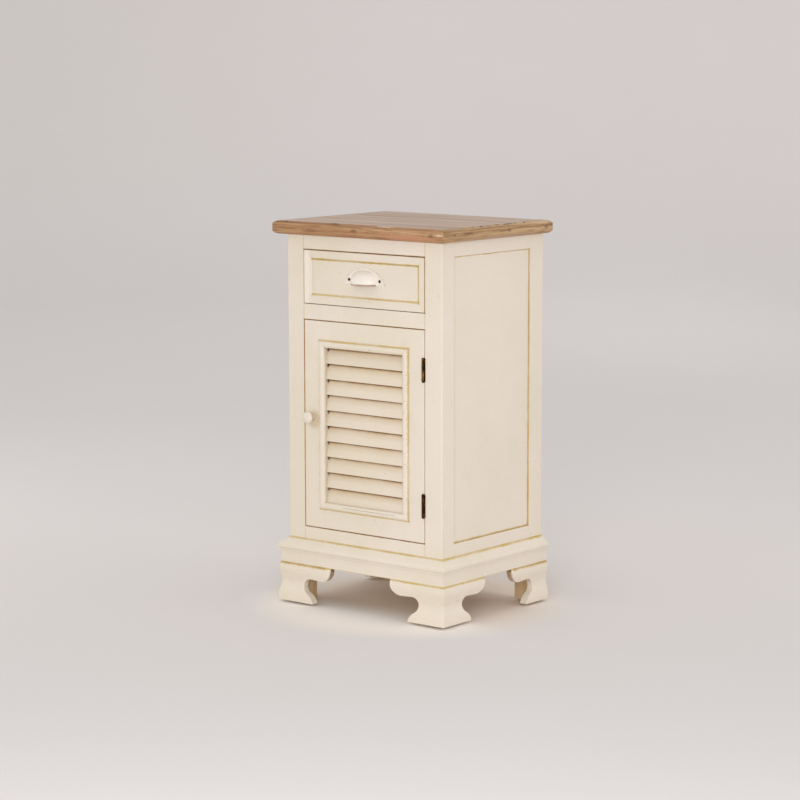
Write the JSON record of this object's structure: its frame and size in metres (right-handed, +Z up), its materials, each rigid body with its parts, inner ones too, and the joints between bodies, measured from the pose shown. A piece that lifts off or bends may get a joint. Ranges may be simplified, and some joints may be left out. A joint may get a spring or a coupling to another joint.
{
  "type": "bedside pot cupboard",
  "caption": "Painted bedside pot cupboard on bracket feet, with a moulded wood top, a drawer with a cup handle and a louvred door with a round knob.",
  "frame": {"origin": "middle of the overall footprint, on the floor under the feet", "axes": "+Z is up, -Y is the front with the drawer and the door, and +X is the side of the door's hinges, on the right seen from the front"},
  "size_m": [0.43, 0.35, 0.76],
  "materials": {
    "cream_paint": "satin cream paint with ochre wax left in the grooves",
    "limed_top_wood": "limed, lightly weathered, matt",
    "lipping_wood": "waxed, satin",
    "bare_wood": "planed and unfinished, matt",
    "glue_block_wood": "sawn and stained brown, matt",
    "aged_brass": "dark and aged, satin",
    "knob_paint": "satin off-white paint",
    "handle_paint": "satin off-white paint",
    "dark_screws": "blackened",
    "plated_steel": "zinc plated",
    "catch_plastic": "matt moulded plastic",
    "felt": "pressed felt"
  },
  "bodies": {
    "carcass": {"top_panel": "limed_top_wood", "top_lipping_front": "lipping_wood", "top_lipping_back": "lipping_wood", "top_lipping_left": "lipping_wood", "top_lipping_right": "lipping_wood", "post_front_left": "cream_paint", "post_front_right": "cream_paint", "post_rear_left": "cream_paint", "post_rear_right": "cream_paint", "front_top_rail": "cream_paint", "front_mid_rail": "cream_paint", "front_bottom_rail": "cream_paint", "side_top_rail_left": "cream_paint", "side_top_rail_right": "cream_paint", "side_bottom_rail_left": "cream_paint", "side_bottom_rail_right": "cream_paint", "side_panel_left": "cream_paint", "side_panel_right": "cream_paint", "back_panel": "bare_wood", "cupboard_floor": "bare_wood", "dust_board": "bare_wood", "drawer_runners": "bare_wood", "plinth_front": "cream_paint", "plinth_back": "bare_wood", "plinth_left": "cream_paint", "plinth_right": "cream_paint", "foot_front_left": "cream_paint", "foot_front_right": "cream_paint", "foot_rear_left": "cream_paint", "foot_rear_right": "cream_paint", "foot_glue_blocks": "glue_block_wood", "foot_pads": "felt", "hinge_frame_leaf_lower": "aged_brass", "hinge_frame_leaf_upper": "aged_brass", "hinge_frame_screws": "aged_brass", "magnetic_catch": "catch_plastic"},
    "door": {"door_stile_left": "cream_paint", "door_stile_right": "cream_paint", "door_top_rail": "cream_paint", "door_bottom_rail": "cream_paint", "louvre_slats": "cream_paint", "louvre_bead_top": "cream_paint", "louvre_bead_bottom": "cream_paint", "louvre_bead_left": "cream_paint", "louvre_bead_right": "cream_paint", "door_knob": "knob_paint", "knob_screw": "plated_steel", "hinge_door_leaf_lower": "aged_brass", "hinge_door_leaf_upper": "aged_brass", "hinge_door_screws": "aged_brass", "hinge_pins": "aged_brass", "catch_strike_plate": "plated_steel"},
    "drawer": {"drawer_front": "cream_paint", "drawer_front_moulding": "cream_paint", "drawer_side_left": "bare_wood", "drawer_side_right": "bare_wood", "drawer_back": "bare_wood", "drawer_bottom": "bare_wood", "cup_handle": "handle_paint", "cup_handle_screws": "dark_screws"}
  },
  "joints": [
    {"name": "door_hinge", "type": "hinge", "parent": "carcass", "child": "door", "pos_m": [0.1474, -0.152, 0.36], "axis": [0, 0, 1], "range_deg": [0, 170]},
    {"name": "drawer_slide", "type": "slide", "parent": "carcass", "child": "drawer", "axis": [0, -1, 0], "range_m": [0, 0.2]}
  ]
}
